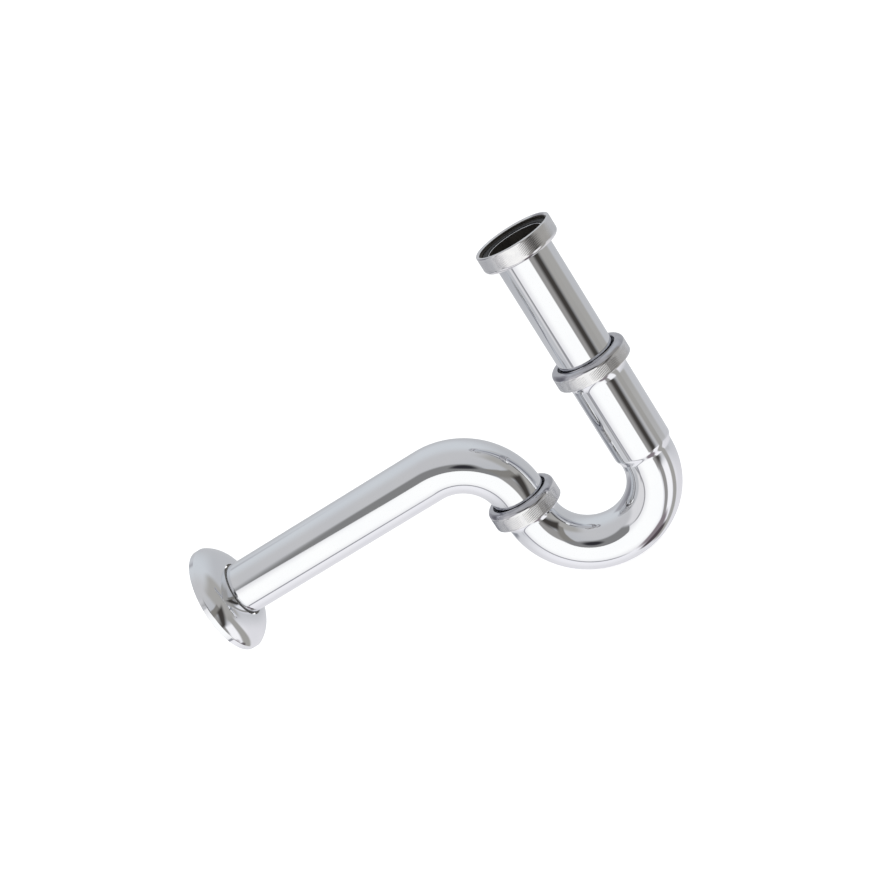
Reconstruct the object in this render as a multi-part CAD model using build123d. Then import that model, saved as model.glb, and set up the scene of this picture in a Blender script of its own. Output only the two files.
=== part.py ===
"""Tubular P-trap for a wash basin: inlet tube, U-bend, wall tube and rosette, with their union nuts.

Millimetres, +Z up. The origin is on the inlet axis, at the top face of the inlet washer,
where the basin waste seats. The wall lies towards -X, and the part is symmetric about Y = 0.
"""

import os
from math import cos, radians, sin

from build123d import *

# Tubes
tube_od = 32.0
tube_wall = 0.8
inlet_tube_od = 33.6
inlet_tube_wall = 0.7
inlet_tube_length = 120.75
socket_wall = 0.6

# Centre lines
trap_drop = 145.65
bend_radius = 38.0
inlet_leg = 63.8
outlet_leg = 8.2
wall_leg = 2.4
wall_bend_radius = 37.0
wall_fall = 2.5
wall_run = 149.5
wall_insert = 8.0

# Swage between the U-bend and its wider inlet socket
swage_start = 0.5
swage_length = 5.0

# Collar rolled in the inlet tube, and turned-out flange of the wall tube
flange_width = 2.2
collar_thickness = 1.5
collar_round = 0.4
flange_thickness = 1.0
flange_round = 0.8

# Threaded ferrules, brazed to the two ends of the U-bend
inlet_ferrule_wall = 3.4
outlet_ferrule_wall = 2.9
inlet_ferrule_length = 5.5
outlet_ferrule_length = 5.5
seal_cone_depth = 2.5
seal_cone_flare = 1.6

# Coupling nut that takes the thread of the basin waste
inlet_nut_wall = 2.095
inlet_nut_height = 11.2
inlet_nut_floor = 3.0
inlet_nut_foot = 2.7
inlet_seat_step = 0.355

# Slip nut on the inlet socket and union nut on the bend outlet
slip_nut_wall = 1.65
slip_nut_height = 10.4
outlet_nut_wall = 2.25
outlet_nut_height = 11.8
nut_floor = 1.8
nut_shoulder = 3.2
nut_edge = 0.6
nut_lead = 0.7

# Rubber and plastic rings
inlet_washer_thickness = 4.15
inlet_washer_brim = 1.2
inlet_washer_stand = 0.6
outlet_washer_thickness = 2.0
outlet_washer_margin = 0.8
seal_head = 1.5
slip_ring_thickness = 1.5
outlet_ring_thickness = 1.2

# Wall rosette, pressed from sheet
rosette_od = 67.4
rosette_sheet = 0.7
rosette_lip = 3.4
rosette_height = 13.7
rosette_bulge = 2.7
rosette_corner = 1.2

# Clearances, all radial except the seat gap
slide_clearance = 0.1
thread_clearance = 0.3
braze_gap = 0.05
seat_gap = 0.05
ring_clearance = 0.4
inlet_nut_clearance = 0.5
slip_nut_clearance = 1.3
outlet_nut_clearance = 1.2
rosette_clearance = 0.8

# Radii that several pieces share
tube_r = tube_od / 2
tube_bore_r = tube_r - tube_wall
inlet_r = inlet_tube_od / 2
inlet_bore_r = inlet_r - inlet_tube_wall
socket_bore_r = inlet_r + slide_clearance
socket_r = socket_bore_r + socket_wall
inlet_collar_r = inlet_r + flange_width
outlet_flange_r = tube_r + flange_width
inlet_washer_r = inlet_collar_r + inlet_washer_brim
inlet_seat_r = inlet_washer_r + ring_clearance
inlet_nut_bore_r = inlet_seat_r + inlet_seat_step
inlet_thread_r = socket_r + braze_gap + inlet_ferrule_wall
outlet_thread_r = tube_r + braze_gap + outlet_ferrule_wall
slip_bore_r = inlet_thread_r + thread_clearance
outlet_bore_r = outlet_thread_r + thread_clearance

# Heights and places that several pieces share
outlet_x = -2 * bend_radius
bend_z = -trap_drop
inlet_end_z = bend_z + inlet_leg
outlet_end_z = bend_z + outlet_leg
socket_end_z = inlet_end_z - seal_cone_depth
inlet_collar_z = -inlet_washer_thickness - collar_thickness
wall_tube_z = outlet_end_z + outlet_washer_thickness + seat_gap
wall_bend_z = wall_tube_z + flange_thickness + wall_leg
seal_top_z = inlet_end_z + seal_head
slip_ring_top_z = seal_top_z + seat_gap + slip_ring_thickness
slip_nut_top_z = slip_ring_top_z + seat_gap + nut_floor
outlet_ring_z = wall_tube_z + flange_thickness + seat_gap
outlet_nut_top_z = outlet_ring_z + outlet_ring_thickness + seat_gap + nut_floor
inlet_nut_floor_z = inlet_collar_z - seat_gap

# The wall tube leaves its bend sloping down to the wall
wall_direction = Vector(-cos(radians(wall_fall)), 0, -sin(radians(wall_fall)))
wall_bend_centre = Vector(outlet_x - wall_bend_radius, 0, wall_bend_z)
wall_bend_arm = Vector(-sin(radians(wall_fall)), 0, cos(radians(wall_fall)))
wall_bend_end = wall_bend_centre + wall_bend_radius * wall_bend_arm
wall_point = wall_bend_end + wall_run * wall_direction


def turned(points, rounds):
    """Ring with a (radius, height) section through the points; rounds maps a point number to its fillet."""
    section = make_face(Polyline(*points, close=True))
    for number, radius in rounds.items():
        corner = section.vertices().sort_by_distance((*points[number], 0))[0]
        section = fillet(corner, radius)
    return revolve(Plane.XZ * section, Axis.Z)


def flat_ring(inner_r, outer_r, low, high):
    """Plain washer between two heights."""
    return turned([(inner_r, low), (outer_r, low), (outer_r, high), (inner_r, high)], {})


def tube_section(outer_r, bore_r):
    """Cross-section of a tube."""
    return Circle(outer_r) - Circle(bore_r)


def s_curve(low, high):
    """Smooth step between two (radius, height) points, upright at both ends."""
    middle = (low[1] + high[1]) / 2
    return Bezier(low, (low[0], middle), (high[0], middle), high)


def swaged_leg():
    """Straight inlet leg of the U-bend, widened by a swage into the socket for the inlet tube."""
    low = bend_z + swage_start
    high = low + swage_length
    outer = Line((tube_r, bend_z), (tube_r, low)) + s_curve((tube_r, low), (socket_r, high))
    outer += Line((socket_r, high), (socket_r, socket_end_z))
    inner = Line((socket_bore_r, socket_end_z), (socket_bore_r, high))
    inner += s_curve((tube_bore_r, low), (socket_bore_r, high))
    inner += Line((tube_bore_r, low), (tube_bore_r, bend_z))
    rim = Line((socket_r, socket_end_z), (socket_bore_r, socket_end_z))
    foot = Line((tube_bore_r, bend_z), (tube_r, bend_z))
    return revolve(Plane.XZ * make_face(outer + rim + inner + foot), Axis.Z)


def trap_bend():
    """U-bend drawn from one tube: inlet socket, half turn and short outlet end."""
    start = Plane((0, 0, bend_z)) * tube_section(tube_r, tube_bore_r)
    turn = revolve(start, Axis((-bend_radius, 0, bend_z), (0, 1, 0)), 180)
    outlet = extrude(Plane((outlet_x, 0, bend_z)) * tube_section(tube_r, tube_bore_r), outlet_leg)
    return swaged_leg() + turn + outlet


def inlet_ferrule():
    """Ring brazed round the socket end, with a cone in its mouth for the slip seal."""
    bore_r = socket_r + braze_gap
    foot = inlet_end_z - inlet_ferrule_length
    mouth_r = bore_r + seal_cone_flare
    outline = [(bore_r, foot), (inlet_thread_r, foot), (inlet_thread_r, inlet_end_z)]
    outline += [(mouth_r, inlet_end_z), (bore_r, socket_end_z)]
    return turned(outline, {})


def outlet_ferrule():
    """Ring brazed round the outlet end, flush with the tube."""
    foot = outlet_end_z - outlet_ferrule_length
    ring = flat_ring(tube_r + braze_gap, outlet_thread_r, foot, outlet_end_z)
    return Pos(outlet_x, 0, 0) * ring


def inlet_tube():
    """Straight tube that slides in the socket; a collar holds its nut, and its end centres the washer."""
    top = -inlet_washer_stand
    foot = top - inlet_tube_length
    collar_top = -inlet_washer_thickness
    outline = [(inlet_bore_r, foot), (inlet_r, foot), (inlet_r, inlet_collar_z)]
    outline += [(inlet_collar_r, inlet_collar_z), (inlet_collar_r, collar_top), (inlet_r, collar_top)]
    outline += [(inlet_r, top), (inlet_bore_r, top)]
    return turned(outline, {2: inlet_nut_clearance, 3: collar_round, 4: collar_round})


def wall_tube():
    """Flanged foot, bend of just over a right angle, and the run into the wall."""
    flange_top = wall_tube_z + flange_thickness
    outline = [(tube_bore_r, wall_tube_z), (outlet_flange_r, wall_tube_z), (outlet_flange_r, flange_top)]
    outline += [(tube_r, flange_top), (tube_r, wall_bend_z), (tube_bore_r, wall_bend_z)]
    foot = Pos(outlet_x, 0, 0) * turned(outline, {0: flange_round, 3: flange_round})
    start = Plane((outlet_x, 0, wall_bend_z)) * tube_section(tube_r, tube_bore_r)
    turn = revolve(start, Axis(wall_bend_centre, (0, -1, 0)), 90 + wall_fall)
    run_plane = Plane(wall_bend_end, x_dir=(0, 1, 0), z_dir=wall_direction)
    run = extrude(run_plane * tube_section(tube_r, tube_bore_r), wall_run + wall_insert)
    return foot + turn + run


def ring_nut(wall, height, floor, hole_r, bore_r, shoulder):
    """Round union nut with its floor on top at height 0, a hole in the floor and an open mouth below."""
    outer_r = bore_r + wall
    outline = [(hole_r, 0), (outer_r, 0), (outer_r, -height), (bore_r + nut_lead, -height)]
    outline += [(bore_r, nut_lead - height), (bore_r, -floor), (hole_r, -floor)]
    return turned(outline, {1: shoulder, 2: nut_edge})


def inlet_nut():
    """Coupling nut, floor down, hung from the collar of the inlet tube, with a seat round the washer."""
    hole_r = inlet_r + inlet_nut_clearance
    bore_r = inlet_nut_bore_r
    nut = ring_nut(inlet_nut_wall, inlet_nut_height, inlet_nut_floor, hole_r, bore_r, inlet_nut_foot)
    seat = flat_ring(inlet_seat_r, bore_r, inlet_nut_floor_z, 0)
    return Pos(0, 0, inlet_nut_floor_z - inlet_nut_floor) * Rot(180, 0, 0) * nut + seat


def inlet_slip_nut():
    """Nut that squeezes the slip seal round the inlet tube."""
    hole_r = inlet_r + slip_nut_clearance
    nut = ring_nut(slip_nut_wall, slip_nut_height, nut_floor, hole_r, slip_bore_r, nut_shoulder)
    return Pos(0, 0, slip_nut_top_z) * nut


def outlet_nut():
    """Union nut that draws the wall tube's flange down on the bend outlet."""
    hole_r = tube_r + outlet_nut_clearance
    nut = ring_nut(outlet_nut_wall, outlet_nut_height, nut_floor, hole_r, outlet_bore_r, nut_shoulder)
    return Pos(outlet_x, 0, outlet_nut_top_z) * nut


def inlet_washer():
    """Thick rubber washer round the tube's end, on the collar; the basin waste presses on its top."""
    return flat_ring(inlet_r + slide_clearance, inlet_washer_r, -inlet_washer_thickness, 0)


def outlet_washer():
    """Flat rubber washer between the bend outlet and the wall tube's flange."""
    top = outlet_end_z + outlet_washer_thickness
    ring = flat_ring(tube_bore_r + outlet_washer_margin, outlet_flange_r, outlet_end_z, top)
    return Pos(outlet_x, 0, 0) * ring


def inlet_slip_seal():
    """Rubber wedge ring: a flat head over the ferrule and a cone that fills its mouth."""
    inner_r = inlet_r + slide_clearance
    head_r = inlet_thread_r - thread_clearance
    cone_r = socket_r + seal_cone_flare
    low = socket_end_z + seat_gap
    outline = [(inner_r, low), (socket_r, low), (cone_r, inlet_end_z), (head_r, inlet_end_z)]
    outline += [(head_r, seal_top_z), (inner_r, seal_top_z)]
    return turned(outline, {})


def inlet_slip_ring():
    """Hard ring that lets the slip nut turn without dragging the seal."""
    inner_r = inlet_r + ring_clearance
    return flat_ring(inner_r, slip_bore_r - ring_clearance, seal_top_z + seat_gap, slip_ring_top_z)


def outlet_ring():
    """Hard ring between the outlet nut and the flange of the wall tube."""
    inner_r = tube_r + outlet_nut_clearance - ring_clearance
    top = outlet_ring_z + outlet_ring_thickness
    ring = flat_ring(inner_r, outlet_bore_r - ring_clearance, outlet_ring_z, top)
    return Pos(outlet_x, 0, 0) * ring


def wall_rosette():
    """Pressed cover plate: an upright lip, a rounded corner and a dome up to the hole for the wall tube."""
    rim_r = rosette_od / 2
    hole_r = tube_r + rosette_clearance
    inner_rim_r = rim_r - rosette_sheet
    inner_height = rosette_height - rosette_sheet
    lip = Line((rim_r, 0), (rim_r, rosette_lip))
    dome = SagittaArc((rim_r, rosette_lip), (hole_r, rosette_height), -rosette_bulge)
    hole = Line((hole_r, rosette_height), (hole_r, inner_height))
    back = SagittaArc((hole_r, inner_height), (inner_rim_r, rosette_lip), rosette_bulge)
    inner_lip = Line((inner_rim_r, rosette_lip), (inner_rim_r, 0))
    edge = Line((inner_rim_r, 0), (rim_r, 0))
    section = make_face(lip + dome + hole + back + inner_lip + edge)
    corner = section.vertices().sort_by_distance((rim_r, rosette_lip, 0))[0]
    plate = revolve(Plane.XZ * fillet(corner, rosette_corner), Axis.Z)
    return Plane(wall_point, x_dir=(0, 1, 0), z_dir=-wall_direction) * plate


pieces = [trap_bend, inlet_ferrule, outlet_ferrule, inlet_tube, inlet_washer, inlet_nut]
pieces += [inlet_slip_seal, inlet_slip_ring, inlet_slip_nut]
pieces += [outlet_washer, outlet_ring, outlet_nut, wall_tube, wall_rosette]

os.makedirs("parts", exist_ok=True)
for piece in pieces:
    export_step(piece(), f"parts/{piece.__name__}.step")
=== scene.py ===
"""Looks of the tubular basin trap: polished tubes, knurled nuts, rubber and plastic rings, domed rosette.

Every new piece is one closed skin. A loop of (distance along, radius) points is carried round a centre line,
so a turned ring has a straight centre line and a bent tube has a bent one. Lengths are in millimetres until
the mesh is made, which is in metres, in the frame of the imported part.
"""

import bpy
import numpy as np
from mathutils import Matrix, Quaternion


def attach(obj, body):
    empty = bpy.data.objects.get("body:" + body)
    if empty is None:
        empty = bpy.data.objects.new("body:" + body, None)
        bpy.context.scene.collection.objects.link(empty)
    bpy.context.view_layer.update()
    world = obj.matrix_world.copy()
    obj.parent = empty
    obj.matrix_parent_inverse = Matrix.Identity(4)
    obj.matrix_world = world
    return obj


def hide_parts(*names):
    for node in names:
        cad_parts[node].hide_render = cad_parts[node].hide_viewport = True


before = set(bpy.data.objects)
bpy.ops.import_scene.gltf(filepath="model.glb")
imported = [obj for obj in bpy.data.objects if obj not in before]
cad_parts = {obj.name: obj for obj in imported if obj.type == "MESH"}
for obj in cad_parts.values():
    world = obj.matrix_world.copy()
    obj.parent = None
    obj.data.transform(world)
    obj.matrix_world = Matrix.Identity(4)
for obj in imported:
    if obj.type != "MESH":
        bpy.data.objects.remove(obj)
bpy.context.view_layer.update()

# Sizes of the trap, as its solids have them
TUBE_R, TUBE_BORE = 16.0, 15.2
INLET_R, INLET_BORE = 16.8, 16.1
SOCKET_R, SOCKET_BORE = 17.5, 16.9
BEND_RADIUS, WALL_BEND_RADIUS = 38.0, 37.0
SOCKET_LENGTH, INLET_LEG, OUTLET_LEG = 61.3, 63.8, 8.2
BEND_Z = -145.65
OUTLET_X = -2 * BEND_RADIUS
SOCKET_END = BEND_Z + SOCKET_LENGTH
INLET_END = BEND_Z + INLET_LEG
OUTLET_END = BEND_Z + OUTLET_LEG
UNION_SEAL, FLANGE, FLANGE_R, WALL_LEG = 2.05, 1.0, 18.2, 2.4
WALL_FOOT = OUTLET_END + UNION_SEAL
WALL_BEND_Z = WALL_FOOT + FLANGE + WALL_LEG
WALL_FALL = np.radians(2.5)
WALL_RUN, WALL_INSERT = 149.5, 8.0
COLLAR_LOW, COLLAR_HIGH, COLLAR_R = -5.65, -4.15, 19.0
FERRULE = 5.5
SLIP_TOP = INLET_END + 4.9
UNION_TOP = OUTLET_END + 6.15
THREAD_PITCH = 2.309

X, Y, Z = np.eye(3)
WALL_WAY = np.array([-np.cos(WALL_FALL), 0, -np.sin(WALL_FALL)])
WALL_BEND_CENTRE = np.array([OUTLET_X - WALL_BEND_RADIUS, 0, WALL_BEND_Z])
WALL_BEND_END = WALL_BEND_CENTRE + WALL_BEND_RADIUS * np.array([-np.sin(WALL_FALL), 0, np.cos(WALL_FALL)])


# Loops of (distance along, radius) points

def smooth(t):
    """Smooth step: 3t^2 - 2t^3 of t held between 0 and 1."""
    t = np.clip(t, 0, 1)
    return t * t * (3 - 2 * t)


def rounded(corners, steps=6):
    """Closed polygon of (along, radius, fillet) corners, each turned into an arc tangent to both its sides.

    The arc's centre lies on the corner's bisector, at fillet / sin(half the corner's angle).
    """
    corners = np.array(corners, float)
    point = corners[:, :2]
    back = np.roll(point, 1, 0) - point
    ahead = np.roll(point, -1, 0) - point
    back /= np.linalg.norm(back, axis=1)[:, None]
    ahead /= np.linalg.norm(ahead, axis=1)[:, None]
    half = np.arccos(np.clip((back * ahead).sum(1), -1, 1)) / 2
    bisector = back + ahead
    bisector /= np.maximum(np.linalg.norm(bisector, axis=1), 1e-9)[:, None]
    centre = point + bisector * (corners[:, 2] / np.sin(half))[:, None]
    start = point + back * (corners[:, 2] / np.tan(half))[:, None] - centre
    end = point + ahead * (corners[:, 2] / np.tan(half))[:, None] - centre
    runs = []
    for c, a, b, r, p in zip(centre, start, end, corners[:, 2], point):
        if r == 0:
            runs.append(p[None])
            continue
        t = np.linspace(0, 1, steps + 1)[:, None]
        turn = np.arccos(np.clip(a @ b / r / r, -1, 1))
        runs.append(c + (np.sin((1 - t) * turn) * a + np.sin(t * turn) * b) / np.sin(turn))
    return np.concatenate(runs)


def divided(loop, step):
    """Closed loop with more points put into each side that is longer than the step, evenly along it."""
    ahead = np.roll(loop, -1, 0) - loop
    count = np.maximum(1, np.ceil(np.linalg.norm(ahead, axis=1) / step)).astype(int)
    first = np.repeat(np.cumsum(count) - count, count)
    share = (np.arange(count.sum()) - first) / np.repeat(count, count)
    return np.repeat(loop, count, 0) + share[:, None] * np.repeat(ahead, count, 0)


# Centre lines: distance along to (centre, sideways direction), with Y as the other direction

def upright(x, z=0.0, way=1):
    """Straight line up or down through (x, 0, z): the centre is z + way * distance."""
    def place(s):
        return np.stack([x + 0 * s, 0 * s, z + way * s], 1), np.broadcast_to(way * X, (len(s), 3))
    return place


def wallward(base, way):
    """Straight line from a base point along a direction in the XZ plane."""
    side = np.cross(Y, way)

    def place(s):
        return base + s[:, None] * way, np.broadcast_to(side, (len(s), 3))
    return place


def u_line(s):
    """Down the inlet leg, half round the bend and up the outlet leg; s is 0 at the start of the bend."""
    turn = np.clip(s / BEND_RADIUS, 0, np.pi)
    down = np.minimum(s, 0) - np.maximum(s - np.pi * BEND_RADIUS, 0)
    centre = np.stack([BEND_RADIUS * (np.cos(turn) - 1), 0 * s, BEND_Z - BEND_RADIUS * np.sin(turn) - down], 1)
    way = np.stack([-np.sin(turn), 0 * s, -np.cos(turn)], 1)
    return centre, np.cross(Y, way)


def wall_line(s):
    """Up from the wall tube's foot, round its bend and down the run; s is 0 at the start of the bend."""
    last = WALL_BEND_RADIUS * (np.pi / 2 + WALL_FALL)
    turn = np.clip(s, 0, last) / WALL_BEND_RADIUS
    centre = WALL_BEND_CENTRE + WALL_BEND_RADIUS * np.stack([np.cos(turn), 0 * s, np.sin(turn)], 1)
    centre = centre + np.minimum(s, 0)[:, None] * Z + np.maximum(s - last, 0)[:, None] * WALL_WAY
    way = np.stack([-np.sin(turn), 0 * s, np.cos(turn)], 1)
    return centre, np.cross(Y, way)


# Skins

def skin(name, loop, place, around, body, materials, second=None, ripple=None):
    """Closed skin of a loop carried round a centre line.

    The point at (i, j) is centre(s_i) + r_ij * (cos a_j * side + sin a_j * Y). The ripple gives r_ij from
    (s, r, angle) arrays, and the second material covers the faces whose loop index the second array marks.
    Normals are the cross product of the differences along both directions of the grid.
    """
    s, r = loop[:, 0], loop[:, 1]
    angle = np.arange(around) * 2 * np.pi / around
    centre, side = place(s)
    radius = np.broadcast_to(r[:, None], (len(s), around))
    if ripple is not None:
        radius = ripple(s[:, None], radius, angle[None])
    point = centre[:, None] + radius[..., None] * (
        np.cos(angle)[:, None] * side[:, None] + np.sin(angle)[:, None] * Y)
    across = np.roll(point, -1, 1) - np.roll(point, 1, 1)
    forward = np.roll(point, -1, 0) - np.roll(point, 1, 0)
    normal = np.cross(across, forward)
    normal /= np.maximum(np.linalg.norm(normal, axis=2), 1e-12)[..., None]
    index = np.arange(len(s) * around).reshape(len(s), around)
    ahead, over = np.roll(index, -1, 0), np.roll(index, -1, 1)
    quads = np.stack([index, over, np.roll(ahead, -1, 1), ahead], 2).reshape(-1, 4)
    mesh = bpy.data.meshes.new(name)
    mesh.from_pydata((point.reshape(-1, 3) * 0.001), [], quads)
    mesh.polygons.foreach_set("use_smooth", np.ones(len(quads), bool))
    for material in materials:
        mesh.materials.append(material)
    if second is not None:
        mesh.polygons.foreach_set("material_index", np.repeat(second.astype(np.int32), around))
    mesh.normals_split_custom_set_from_vertices(normal.reshape(-1, 3))
    mesh.update()
    piece = bpy.data.objects.new(name, mesh)
    bpy.context.scene.collection.objects.link(piece)
    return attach(piece, body)


def knurl(low, high, outer, count, depth):
    """Ripple of count upright grooves in the outer face: depth * (1 - cos(count * angle)) / 2.

    The grooves fade out at both ends.
    """
    fade = 0.5

    def ripple(s, r, angle):
        mask = smooth((s - low) / fade) * smooth((high - s) / fade) * (np.abs(r - outer) < 0.01)
        return r - depth * mask * (1 - np.cos(count * angle)) / 2
    return ripple


def thread(low, high, root, depth, sign):
    """Ripple of a helical ridge: sign * depth * ridge(s / pitch - angle / full turn).

    The ridge fades out at both ends.
    """
    fade = 0.6

    def ripple(s, r, angle):
        phase = (s / THREAD_PITCH - angle / (2 * np.pi)) % 1
        ridge = smooth((0.42 - np.abs(phase - 0.5)) / 0.3)
        mask = smooth((s - low) / fade) * smooth((high - s) / fade) * (np.abs(r - root) < 0.01)
        return r + sign * depth * ridge * mask
    return ripple


def together(*ripples):
    """Several ripples, one after the other."""
    def ripple(s, r, angle):
        for one in ripples:
            r = one(s, r, angle)
        return r
    return ripple


# Finishes

def shader(name, colour, metallic, roughness):
    """New material with a Principled shader; gives back its tree, shader and Object coordinates."""
    material = bpy.data.materials.new(name)
    material.use_nodes = True
    tree = material.node_tree
    bsdf = tree.nodes["Principled BSDF"]
    bsdf.inputs["Base Color"].default_value = (*colour, 1)
    bsdf.inputs["Metallic"].default_value = metallic
    bsdf.inputs["Roughness"].default_value = roughness
    return material, tree, bsdf, tree.nodes.new("ShaderNodeTexCoord").outputs["Object"]


def noise(tree, where, scale, detail=3.0):
    """Noise value on Object coordinates."""
    node = tree.nodes.new("ShaderNodeTexNoise")
    node.inputs["Scale"].default_value = scale
    node.inputs["Detail"].default_value = detail
    tree.links.new(where, node.inputs["Vector"])
    return node.outputs["Fac"]


def ranged(tree, value, low, high):
    """Value spread from the middle of the noise's range to low and high."""
    node = tree.nodes.new("ShaderNodeMapRange")
    node.inputs["From Min"].default_value = 0.3
    node.inputs["From Max"].default_value = 0.7
    node.inputs["To Min"].default_value = low
    node.inputs["To Max"].default_value = high
    tree.links.new(value, node.inputs["Value"])
    return node.outputs["Result"]


def bumped(tree, bsdf, height, distance, strength):
    """Height as bump, with the distance in metres."""
    node = tree.nodes.new("ShaderNodeBump")
    node.inputs["Distance"].default_value = distance
    node.inputs["Strength"].default_value = strength
    tree.links.new(height, node.inputs["Height"])
    tree.links.new(node.outputs["Normal"], bsdf.inputs["Normal"])


def tinted(tree, bsdf, value, dark, light):
    """Base colour that goes from dark to light with a value."""
    node = tree.nodes.new("ShaderNodeMix")
    node.data_type = "RGBA"
    node.inputs["A"].default_value = (*dark, 1)
    node.inputs["B"].default_value = (*light, 1)
    tree.links.new(value, node.inputs["Factor"])
    tree.links.new(node.outputs["Result"], bsdf.inputs["Base Color"])


def polished_chrome():
    """Mirror plating with a faint haze that comes and goes."""
    material, tree, bsdf, where = shader("polished_chrome", (0.80, 0.81, 0.83), 1.0, 0.04)
    cloud = noise(tree, where, 55.0)
    tree.links.new(ranged(tree, cloud, 0.025, 0.06), bsdf.inputs["Roughness"])
    tinted(tree, bsdf, ranged(tree, cloud, 0.0, 1.0), (0.79, 0.80, 0.825), (0.81, 0.818, 0.835))
    return material


def satin_chrome(name, dark, light):
    """Plating over knurled and turned faces, a little greyer and hazier than the tubes."""
    material, tree, bsdf, where = shader(name, light, 1.0, 0.1)
    grain = noise(tree, where, 1400.0, 2.0)
    tree.links.new(ranged(tree, grain, 0.06, 0.13), bsdf.inputs["Roughness"])
    tinted(tree, bsdf, ranged(tree, noise(tree, where, 260.0), 0.0, 1.0), dark, light)
    bumped(tree, bsdf, grain, 0.00003, 0.25)
    return material


def dull_metal(name, dark, light):
    """Unplated inside of a tube or a pressing, stained and rough, and darkened with painted shade of the
    hollow.
    """
    material, tree, bsdf, where = shader(name, light, 0.3, 0.6)
    stain = noise(tree, where, 120.0, 5.0)
    tinted(tree, bsdf, ranged(tree, stain, 0.0, 1.0), dark, light)
    tree.links.new(ranged(tree, stain, 0.5, 0.7), bsdf.inputs["Roughness"])
    return material


def turned_chrome():
    """Machined threads of the ferrules, thinly plated with their tube."""
    material, tree, bsdf, where = shader("turned_chrome", (0.62, 0.61, 0.60), 1.0, 0.26)
    tool = noise(tree, where, 900.0, 2.0)
    cloud = ranged(tree, noise(tree, where, 180.0), 0.0, 1.0)
    tinted(tree, bsdf, cloud, (0.56, 0.55, 0.54), (0.67, 0.66, 0.65))
    tree.links.new(ranged(tree, tool, 0.2, 0.34), bsdf.inputs["Roughness"])
    bumped(tree, bsdf, tool, 0.00003, 0.3)
    return material


def black_rubber():
    """Matt moulded rubber with a fine skin."""
    material, tree, bsdf, where = shader("black_rubber", (0.02, 0.02, 0.022), 0.0, 0.6)
    skin_grain = noise(tree, where, 1500.0, 4.0)
    cloud = ranged(tree, noise(tree, where, 300.0), 0.0, 1.0)
    tinted(tree, bsdf, cloud, (0.012, 0.012, 0.014), (0.03, 0.03, 0.032))
    tree.links.new(ranged(tree, skin_grain, 0.5, 0.72), bsdf.inputs["Roughness"])
    bumped(tree, bsdf, skin_grain, 0.00005, 0.4)
    return material


def dark_plastic():
    """Hard blue-black plastic of the friction rings."""
    material, tree, bsdf, where = shader("dark_plastic", (0.03, 0.035, 0.055), 0.0, 0.42)
    grain = noise(tree, where, 800.0, 3.0)
    tinted(tree, bsdf, ranged(tree, grain, 0.0, 1.0), (0.022, 0.026, 0.044), (0.04, 0.046, 0.068))
    tree.links.new(ranged(tree, grain, 0.36, 0.5), bsdf.inputs["Roughness"])
    return material


CHROME = polished_chrome()
# Painted shade: the near-black bore colours paint the shade inside the tubes and the coupling nut.
BORE_PAINTED_SHADE = dull_metal("bore_painted_shade", (0.03, 0.027, 0.025), (0.075, 0.066, 0.055))
# Raw metal and painted shade: the back colours are the rosette's unplated back, darkened so the gap round the
# wall tube reads dark.
RAW_BACK_PAINTED_SHADE = dull_metal("raw_back_painted_shade", (0.17, 0.165, 0.155), (0.27, 0.26, 0.24))
SATIN = satin_chrome("satin_chrome", (0.70, 0.70, 0.715), (0.77, 0.765, 0.77))
# Painted shade: a darker copy of the satin plating for the nut shoulders and tops, standing in for the darker
# sky they mirror.
SHOULDER_PAINTED_SHADE = satin_chrome("shoulder_painted_shade", (0.47, 0.47, 0.50), (0.55, 0.55, 0.58))
TURNED, RUBBER, PLASTIC = turned_chrome(), black_rubber(), dark_plastic()


# Tubes

def flare(mouth, length, radius, rise):
    """Corners of a tube's wall that bells out to its mouth: radius + rise * t^2, and then steps back."""
    t = np.linspace(1, 0, 12)
    bell = np.stack([mouth + length * (1 - t), radius + rise * t * t, 0 * t], 1)
    return [(mouth, radius, 0.0), *bell]


def bend_tube():
    """U-bend: both legs and the half turn, a smooth swage up to the wider socket, and a bell under each nut."""
    top = SOCKET_LENGTH
    end = np.pi * BEND_RADIUS + OUTLET_LEG
    swage_foot, swage_length = -0.5, 5.0
    inlet_mouth, outlet_mouth = -top + 3.05, end - 5.7
    wall_middle = 15.7
    t = np.linspace(0, 1, 13)
    along = swage_foot - swage_length * t
    outer = np.stack([along, TUBE_R + (SOCKET_R - TUBE_R) * smooth(t), 0 * t], 1)
    inner = np.stack([along, TUBE_BORE + (SOCKET_BORE - TUBE_BORE) * smooth(t), 0 * t], 1)
    inlet_bell = flare(inlet_mouth, 5.3, SOCKET_R, 1.75)
    outlet_bell = flare(outlet_mouth, -4.5, TUBE_R, 1.6)
    corners = [(-top, SOCKET_R, 0.2), *inlet_bell, *outer[::-1], *outlet_bell[::-1], (end, TUBE_R, 0.2),
               (end, TUBE_BORE, 0.2), *inner, (-top, SOCKET_BORE, 0.2)]
    loop = divided(rounded(corners), 1.3)
    widening = smooth((swage_foot - loop[:, 0]) / swage_length)
    # Painted shade: the inside of the bend takes the near-black bore colours.
    inside = loop[:, 1] < wall_middle + (SOCKET_R - TUBE_R) * widening
    piece = skin("bend_tube", loop, u_line, 128, "bend", [CHROME, BORE_PAINTED_SHADE], inside)
    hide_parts("trap_bend")


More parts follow.
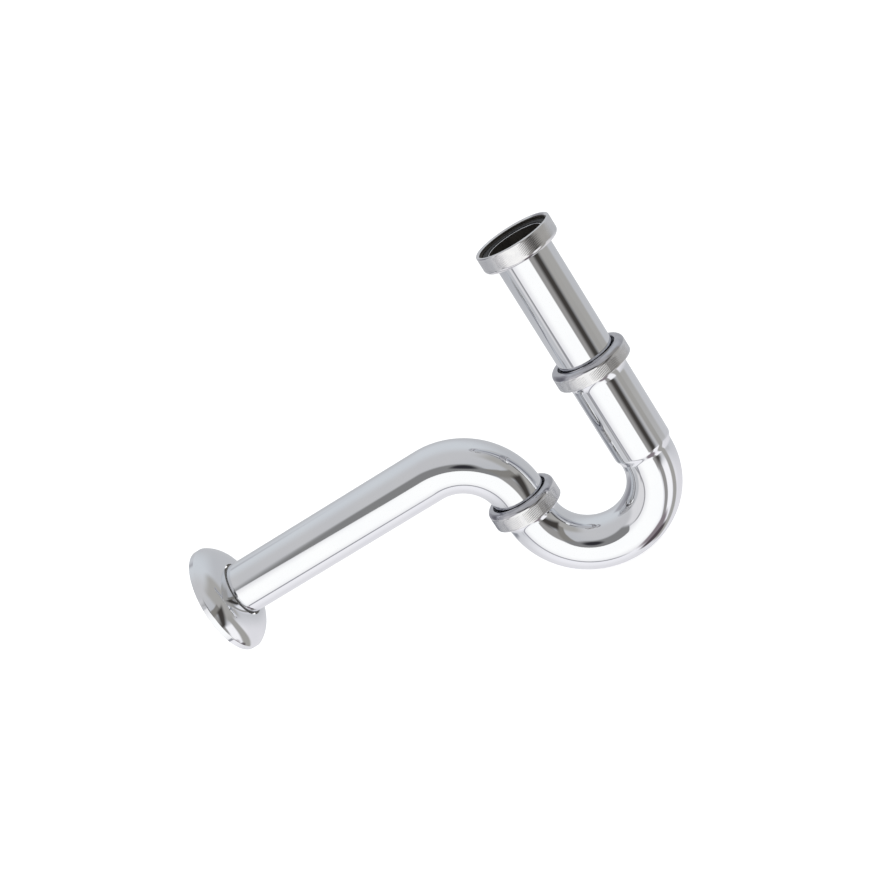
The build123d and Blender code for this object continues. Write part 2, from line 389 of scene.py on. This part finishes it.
def inlet_pipe():
    """Straight inlet tube with a rolled collar below its upper end, which stands bright inside the washer."""
    foot, top = -121.35, -0.6
    corners = [(foot, INLET_BORE, 0.2), (foot, INLET_R, 0.2),
               (COLLAR_LOW, INLET_R, 0.5), (COLLAR_LOW, COLLAR_R, 0.4),
               (COLLAR_HIGH, COLLAR_R, 0.4), (COLLAR_HIGH, INLET_R, 0.0),
               (top, INLET_R, 0.15), (top, INLET_BORE, 0.2)]
    loop = divided(rounded(corners), 4.0)
    # Painted shade: the inside of the inlet tube takes the near-black bore colours.
    inside = (loop[:, 1] < INLET_BORE + 0.01) & (loop[:, 0] < top - 0.1)
    piece = skin("inlet_pipe", loop, upright(0), 160, "inlet_tube", [CHROME, BORE_PAINTED_SHADE], inside)
    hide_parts("inlet_tube")


def wall_pipe():
    """Wall tube: flanged foot, bend and straight run, open at the wall end."""
    foot = WALL_FOOT - WALL_BEND_Z
    end = WALL_BEND_RADIUS * (np.pi / 2 + WALL_FALL) + WALL_RUN + WALL_INSERT
    corners = [(foot, TUBE_BORE, 0.8), (foot, FLANGE_R, 0.2), (foot + FLANGE, FLANGE_R, 0.2),
               (foot + FLANGE, TUBE_R, 0.8), (end, TUBE_R, 0.25), (end, TUBE_BORE, 0.25)]
    loop = divided(rounded(corners), 1.5)
    # Painted shade: the inside of the wall tube takes the near-black bore colours.
    inside = loop[:, 1] < TUBE_BORE + 0.1
    piece = skin("wall_pipe", loop, wall_line, 128, "wall_tube", [CHROME, BORE_PAINTED_SHADE], inside)
    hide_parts("wall_tube")


# Nuts and ferrules

def coupling_nut():
    """Open nut of the inlet, mouth up: bright lead, thread and a seat for the washer, darkened inside as
    painted shade.
    """
    low, floor, high = -8.7, -5.7, 2.5
    hole, seat, root, outer = 17.3, 20.6, 20.955, 23.05
    shoulder, lead = 2.7, 0.7
    corners = [(low, hole, 0.3), (low, outer, shoulder), (high, outer, 0.6), (high, root + lead, 0.1),
               (high - lead, root, 0.0), (0.0, root, 0.0), (0.0, seat, 0.1), (floor, seat, 0.2),
               (floor, hole, 0.2)]
    loop = divided(rounded(corners, 8), 0.45)
    # Painted shade: the thread, seat and floor inside the nut take the near-black bore colours.
    inside = (loop[:, 1] < root + 0.01) & (loop[:, 0] < high - 0.6) & (loop[:, 0] > floor - 0.1)
    grooves = 190
    ripple = together(knurl(low + shoulder + 0.1, high - lead - 0.1, outer, grooves, 0.05),
                      thread(-0.4, high - lead, root, 0.7, -1))
    piece = skin("coupling_nut", loop, upright(0), 4 * grooves, "inlet_nut", [SATIN, BORE_PAINTED_SHADE], inside, ripple)
    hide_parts("inlet_nut")


def capped_nut(name, node, body, x, top, outer, height, hole, bore, grooves):
    """Nut with its floor up: a finely knurled band, a round smooth shoulder and a plain bore; the shoulder and
    top get painted shade.
    """
    floor, shoulder, lead = 1.8, 3.2, 0.7
    band_top = height - shoulder - 0.1
    corners = [(0, outer, 0.6), (height, outer, shoulder), (height, hole, 0.8), (height - floor, hole, 0.2),
               (height - floor, bore, 0.3), (lead, bore, 0.0), (0, bore + lead, 0.1)]
    loop = divided(rounded(corners, 8), 0.8)
    # Painted shade: the faces above the knurled band, shoulder, top and hole, take the darker plating copy.
    above = (loop[:, 0] > band_top) & (loop[:, 1] < outer - 0.01)
    piece = skin(name, loop, upright(x, top - height), 6 * grooves, body, [SATIN, SHOULDER_PAINTED_SHADE], above,
                 knurl(lead, band_top, outer, grooves, 0.09))
    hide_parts(node)


def threaded_ring(name, node, x, low, high, bore, outer, cone):
    """Ferrule on an end of the bend, with a thread cut into it and perhaps a cone in its mouth."""
    cone_depth = 2.5
    corners = [(low, bore, 0.1), (low, outer, 0.0), (high, outer, 0.0), (high, bore + cone, 0.1)]
    if cone:
        corners.append((high - cone_depth, bore, 0.0))
    loop = divided(rounded(corners), 0.25)
    piece = skin(name, loop, upright(x), 192, "bend", [TURNED], None, thread(low, high, outer, 0.9, -1))
    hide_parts(node)


# Rings and rosette

def plain_ring(name, node, body, x, low, high, inner, outer, edge, material):
    """Flat ring with softened edges."""
    corners = [(low, inner, edge), (low, outer, edge), (high, outer, edge), (high, inner, edge)]
    piece = skin(name, divided(rounded(corners), 0.8), upright(x), 128, body, [material])
    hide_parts(node)


def arc_between(a, b, bulge, count):
    """Points of the arc from a to b that stands off its chord by the bulge."""
    a, b = np.array(a, float), np.array(b, float)
    chord = b - a
    length = np.linalg.norm(chord)
    side = np.array([-chord[1], chord[0]]) / length
    radius = (length * length / 4 + bulge * bulge) / (2 * bulge)
    half = np.arcsin(length / 2 / radius)
    turn = np.linspace(-half, half, count)[:, None]
    return (a + b) / 2 + chord / length * radius * np.sin(turn) + side * radius * (np.cos(turn) - np.cos(half))


def rosette_cover():
    """Pressed rosette: upright lip, rounded corner and dome up to the hole round the wall tube."""
    rim, hole, lip, height, sheet, bulge = 33.7, 17.2, 3.4, 13.7, 0.7, 2.7
    dome = arc_between((lip, rim), (height, hole), bulge, 40)
    under = arc_between((lip, rim - sheet), (height - sheet, hole), bulge, 40)
    flat = np.zeros((38, 1))
    corners = [(0, rim - sheet, 0.15), (0, rim, 0.2), (lip, rim, 1.2), *np.hstack([dome[3:-1], flat[2:]]),
               (height, hole, 0.25), (height - sheet, hole, 0.25), *np.hstack([under[1:-1], flat])[::-1],
               (lip, rim - sheet, 0.3)]
    loop = divided(rounded(corners), 1.0)
    # Painted shade: the hole edge and the back of the pressing take the darkened raw back colours.
    inside = np.arange(len(loop)) >= np.argmin(loop[:, 1])
    place = wallward(WALL_BEND_END + WALL_RUN * WALL_WAY, -WALL_WAY)
    piece = skin("rosette_cover", loop, place, 224, "rosette", [CHROME, RAW_BACK_PAINTED_SHADE], inside)
    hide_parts("wall_rosette")


bend_tube()
inlet_pipe()
wall_pipe()
coupling_nut()
capped_nut("slip_nut", "inlet_slip_nut", "inlet_slip_nut", 0, SLIP_TOP,
           outer=22.9, height=10.4, hole=18.1, bore=21.25, grooves=180)
capped_nut("union_nut", "outlet_nut", "outlet_nut", OUTLET_X, UNION_TOP,
           outer=21.5, height=11.8, hole=17.2, bore=19.25, grooves=170)
threaded_ring("inlet_thread_ring", "inlet_ferrule", 0, INLET_END - FERRULE, INLET_END,
              bore=17.55, outer=20.95, cone=1.6)
threaded_ring("outlet_thread_ring", "outlet_ferrule", OUTLET_X, OUTLET_END - FERRULE, OUTLET_END,
              bore=16.05, outer=18.95, cone=0)
plain_ring("soft_washer", "inlet_washer", "inlet_tube", 0, COLLAR_HIGH, 0,
           inner=16.9, outer=20.2, edge=0.35, material=RUBBER)
plain_ring("inlet_friction_ring", "inlet_slip_ring", "inlet_slip_ring", 0, INLET_END + 1.55, INLET_END + 3.05,
           inner=17.2, outer=20.85, edge=0.2, material=PLASTIC)
plain_ring("outlet_friction_ring", "outlet_ring", "outlet_ring", OUTLET_X,
           WALL_FOOT + FLANGE + 0.05, WALL_FOOT + FLANGE + 1.25,
           inner=16.8, outer=18.85, edge=0.2, material=PLASTIC)
rosette_cover()

for hidden in ("inlet_slip_seal", "outlet_washer"):
    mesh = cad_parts[hidden].data
    mesh.materials.clear()
    mesh.materials.append(RUBBER)


# Studio: pale floor, soft dome of light with darker patches for the polish to mirror, camera

def aim(azimuth, elevation):
    """Unit direction at an azimuth (0 along +Y, 90 along +X) and an elevation, both in degrees."""
    a, e = np.radians(azimuth), np.radians(elevation)
    return (np.sin(a) * np.cos(e), np.cos(a) * np.cos(e), np.sin(e))


def studio_dome():
    """Sky of soft light: a grey-blue surround, a white table in front, and dark shapes beside the camera."""
    world = bpy.data.worlds.new("studio")
    bpy.context.scene.world = world
    world.use_nodes = True
    tree = world.node_tree
    way = tree.nodes.new("ShaderNodeTexCoord").outputs["Generated"]

    def along(direction):
        """How far the view direction points along another one."""
        node = tree.nodes.new("ShaderNodeVectorMath")
        node.operation = "DOT_PRODUCT"
        node.inputs[1].default_value = direction
        tree.links.new(way, node.inputs[0])
        return node.outputs["Value"]

    def step(value, low, high):
        """Smooth step of a value from 0 at low to 1 at high."""
        node = tree.nodes.new("ShaderNodeMapRange")
        node.interpolation_type = "SMOOTHSTEP"
        if low > high:
            low, high = high, low
            node.inputs["To Min"].default_value, node.inputs["To Max"].default_value = 1, 0
        node.inputs["From Min"].default_value = low
        node.inputs["From Max"].default_value = high
        tree.links.new(value, node.inputs["Value"])
        return node.outputs["Result"]

    def maths(kind, *values):
        """One step of arithmetic."""
        node = tree.nodes.new("ShaderNodeMath")
        node.operation = kind
        for socket, value in zip(node.inputs, values):
            if isinstance(value, float):
                socket.default_value = value
            else:
                tree.links.new(value, socket)
        return node.outputs["Value"]

    def both(first, *rest):
        """Where all the masks hold."""
        for one in rest:
            first = maths("MULTIPLY", first, one)
        return first

    def laid(under, over, mask):
        """One colour laid over another where the mask holds."""
        node = tree.nodes.new("ShaderNodeMix")
        node.data_type = "RGBA"
        for name, colour in (("A", under), ("B", over)):
            if isinstance(colour, tuple):
                node.inputs[name].default_value = (*colour, 1)
            else:
                tree.links.new(colour, node.inputs[name])
        tree.links.new(mask, node.inputs["Factor"])
        return node.outputs["Result"]

    def spot(azimuth, elevation, inner, outer):
        """Round patch that fades between two angles from its centre."""
        return step(along(aim(azimuth, elevation)), np.cos(np.radians(outer)), np.cos(np.radians(inner)))

    def wedge(start, end, soft=0.05):
        """All that stands between two azimuths."""
        return both(step(along(aim(start + 90, 0)), -soft, soft), step(along(aim(end - 90, 0)), -soft, soft))

    def beyond(first, second, inside):
        """Height over the great circle through two directions, on the inside's side."""
        normal = np.cross(aim(*first), aim(*second))
        return along(normal * np.sign(normal @ aim(*inside)) / np.linalg.norm(normal))

    def side(first, second, inside, soft=0.03):
        """All on the inside's side of a great circle."""
        return step(beyond(first, second, inside), -soft, soft)

    def strip(first, second, width, soft):
        """Band along a great circle."""
        return step(maths("ABSOLUTE", beyond(first, second, (180, 80))), width + soft, width)

    height = along(Z)
    back = step(along(Y), -0.3, 0.4)
    ceiling = laid((0.64, 0.64, 0.65), (0.72, 0.75, 0.78), back)
    ground = laid((1.05, 1.04, 1.07), (0.87, 0.86, 0.89), back)

    # walls and shelves at both sides
    left_wall = both(wedge(-149, -106), step(height, 0.65, 0.45), step(height, -0.45, -0.2))
    left_shelf = both(wedge(-84, -34, 0.08), step(height, 0.78, 0.66), step(height, -0.28, -0.16))
    left_skirting = both(wedge(-80, -44, 0.1), step(height, -0.30, -0.33), step(height, -0.45, -0.41))
    right_wall = both(wedge(68, 122, 0.12), step(height, 0.8, 0.5), step(height, -0.45, -0.3))
    right_skirting = both(strip((106, -20), (72, -70), 0.1, 0.1), step(height, -0.2, -0.35),
                          step(along(X), 0.0, 0.1))

    # white table in front, with its near and far edges
    near = along((0.432, -0.877, 0.210))
    corner = maths("MAXIMUM", side((-162, 9.5), (162, -5), (180, -20)),
                   side((-154, 21), (-162, 9.5), (-140, 0)))
    table = both(step(near, -0.01, 0.04), side((-120, -14), (-153, 19), (180, -20)), corner,
                 step(along(aim(253, 0)), -0.05, 0.05), step(along(aim(180, -20)), 0.2, 0.3))
    table_glow = both(table, spot(186, -24, 20, 46))
    near_edge = both(step(maths("ABSOLUTE", near), 0.06, 0.03), step(along(X), -0.1, -0.3),
                     step(height, -0.1, -0.25))
    far_edge = both(strip((-120, -14), (-153, 19), 0.01, 0.05), wedge(-150, -110))
    side_table = both(wedge(114, 141), step(height, -0.42, -0.52), step(height, -0.92, -0.84))

    # stand beside the camera, and the camera with the one who holds it
    above = step(corner, 0.6, 0.4)
    stand_leg = both(wedge(142, 158, 0.03), step(height, -0.38, -0.46))
    stand_side = both(wedge(140, 164, 0.04), step(height, 0.24, 0.18), step(height, -0.48, -0.42))
    stand_top = both(wedge(116, 178), step(height, 0.22, 0.17), step(height, -0.05, 0.04), above)
    stand_shade = both(side((118, -12), (128, -21), (135, -10), 0.1),
                       side((143, -12), (150, -21), (130, -12), 0.1),
                       step(height, 0.1, 0.0), step(height, -0.49, -0.38))
    holder = both(wedge(159, -151, 0.07), side((164, 26), (-150, 40), (180, 0), 0.07), above,
                  step(height, -0.05, 0.0))

    layers = [
        (ceiling, step(height, 0.15, 0.8)),
        (ground, step(height, -0.2, -0.75)),
        ((0.84, 0.83, 0.84), left_wall),
        ((0.42, 0.42, 0.45), left_shelf),
        ((0.25, 0.25, 0.28), spot(-70, 14, 8, 28)),
        ((0.30, 0.31, 0.34), left_skirting),
        ((0.46, 0.45, 0.43), right_wall),
        ((0.42, 0.41, 0.39), right_skirting),
        ((1.12, 1.11, 1.12), side_table),
        ((1.00, 0.99, 1.00), table),
        ((1.22, 1.22, 1.20), table_glow),
        ((0.38, 0.38, 0.41), near_edge),
        ((0.36, 0.36, 0.37), far_edge),
        ((0.35, 0.34, 0.33), stand_leg),
        ((0.28, 0.24, 0.26), spot(156, -70, 8, 15)),
        ((0.10, 0.08, 0.09), spot(110, -84, 7, 12)),
        ((0.37, 0.36, 0.35), stand_side),
        ((0.27, 0.26, 0.24), stand_top),
        ((0.06, 0.055, 0.05), stand_shade),
        ((0.26, 0.26, 0.26), holder),
        ((0.03, 0.03, 0.035), spot(172, 17, 4, 10)),
    ]
    sky = (0.59, 0.60, 0.62)
    for colour, mask in layers:
        sky = laid(sky, colour, mask)
    seen = tree.nodes.new("ShaderNodeLightPath").outputs["Is Camera Ray"]
    sky = laid(sky, (1.15, 1.15, 1.15), seen)
    tree.links.new(sky, tree.nodes["Background"].inputs["Color"])


def pale_floor():
    """Plain pale floor under the bend, wide enough to fill the view."""
    reach, gap = 4000, 0.5
    level = BEND_Z - BEND_RADIUS - TUBE_R - gap
    mesh = bpy.data.meshes.new("floor")
    corner = np.array([(-1, -1, 0), (1, -1, 0), (1, 1, 0), (-1, 1, 0)]) * reach + (0, 0, level)
    mesh.from_pydata(corner * 0.001, [], [(0, 1, 2, 3)])
    material, _, bsdf, _ = shader("pale_floor", (0.9, 0.9, 0.9), 0.0, 0.9)
    bsdf.inputs["Specular IOR Level"].default_value = 0.0
    bsdf.inputs["Emission Color"].default_value = (1, 1, 1, 1)
    bsdf.inputs["Emission Strength"].default_value = 0.62
    mesh.materials.append(material)
    floor = bpy.data.objects.new("floor", mesh)
    bpy.context.scene.collection.objects.link(floor)
    floor.visible_glossy = False


def camera():
    """Camera as the photograph has it, rolled so that the inlet leans to the left."""
    lens = bpy.data.cameras.new("camera")
    lens.sensor_width = 36.0
    lens.lens = 67.77
    eye = bpy.data.objects.new("camera", lens)
    eye.location = (0.13322, -0.86471, 0.19945)
    eye.rotation_mode = "QUATERNION"
    eye.rotation_quaternion = Quaternion((0.79356, 0.541487, 0.244861, -0.13076))
    bpy.context.scene.collection.objects.link(eye)
    bpy.context.scene.camera = eye


studio_dome()
pale_floor()
camera()
bpy.context.scene.view_settings.view_transform = "Standard"
